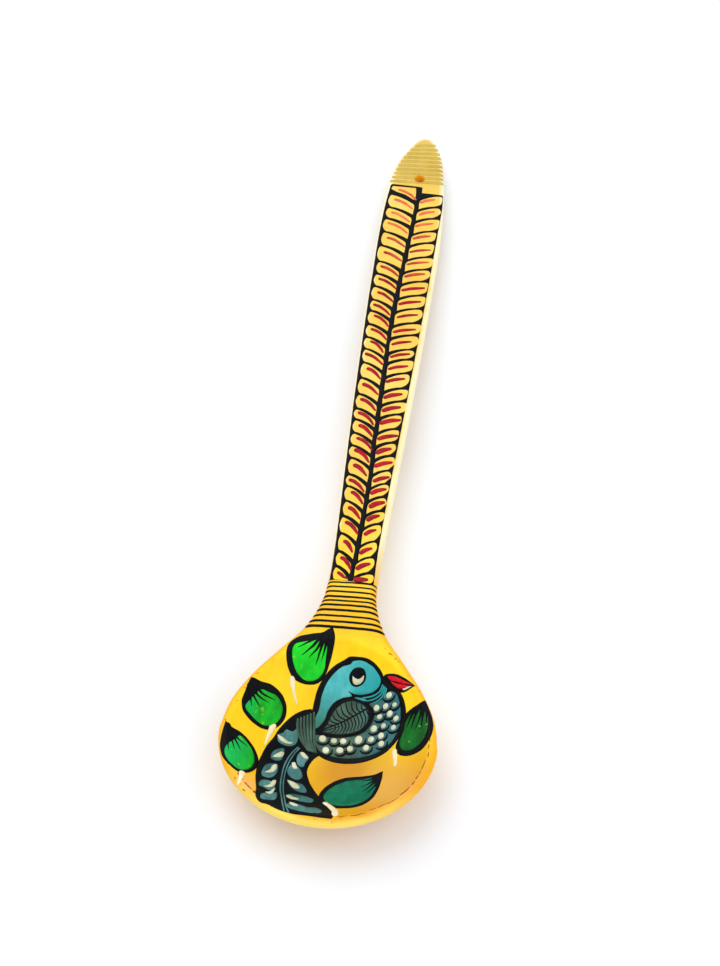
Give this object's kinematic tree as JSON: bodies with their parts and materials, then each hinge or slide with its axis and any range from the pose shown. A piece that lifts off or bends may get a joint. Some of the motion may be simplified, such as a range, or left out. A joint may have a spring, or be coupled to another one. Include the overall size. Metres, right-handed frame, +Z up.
{
  "type": "painted wooden spoon",
  "caption": "Carved wooden spoon with a shallow bowl, flat handle and hang hole, hand-painted with a bird, leaves and a vine.",
  "frame": {"origin": "on the table, under the middle of the spoon's bounding box", "axes": "+Y along the spoon from the bowl's lip to the handle's tip, +X across it, +Z up out of the bowl"},
  "size_m": [0.0678, 0.305, 0.0167],
  "materials": {
    "yellow_painted_wood": "carved wood under a golden yellow ground coat and clear varnish",
    "black_paint": "black enamel, brushed, varnished",
    "crimson_paint": "crimson enamel, brushed, varnished",
    "olive_paint": "thin olive brown paint",
    "teal_paint": "teal enamel, brushed, varnished",
    "cream_paint": "thick cream white paint",
    "green_paint": "leaf green enamel, brushed, varnished"
  },
  "bodies": {
    "root": {"bird_beak": "crimson_paint", "bird_beak_outline": "black_paint", "bird_breast": "teal_paint", "bird_breast_dots": "cream_paint", "bird_collar_bands": "teal_paint", "bird_collar_ground": "black_paint", "bird_eye": "black_paint", "bird_eye_glint": "cream_paint", "bird_head_and_neck": "teal_paint", "bird_outline": "black_paint", "bird_throat": "teal_paint", "bird_wing": "teal_paint", "bird_wing_barbs": "black_paint", "handle_red_strokes_left": "crimson_paint", "handle_red_strokes_right": "crimson_paint", "handle_vine_ground": "black_paint", "leaf_left_green": "green_paint", "leaf_left_outline": "black_paint", "leaf_lower_green": "green_paint", "leaf_lower_outline": "black_paint", "leaf_middle_green": "green_paint", "leaf_middle_outline": "black_paint", "leaf_right_green": "green_paint", "leaf_right_outline": "black_paint", "leaf_top_green": "green_paint", "leaf_top_outline": "black_paint", "light_dashes": "cream_paint", "neck_rings": "black_paint", "tail_feather_highlights": "cream_paint", "tail_feathers": "teal_paint", "tail_ground": "black_paint", "tail_ribs": "teal_paint", "tip_rings": "olive_paint", "wooden_body": "yellow_painted_wood"}
  },
  "joints": []
}
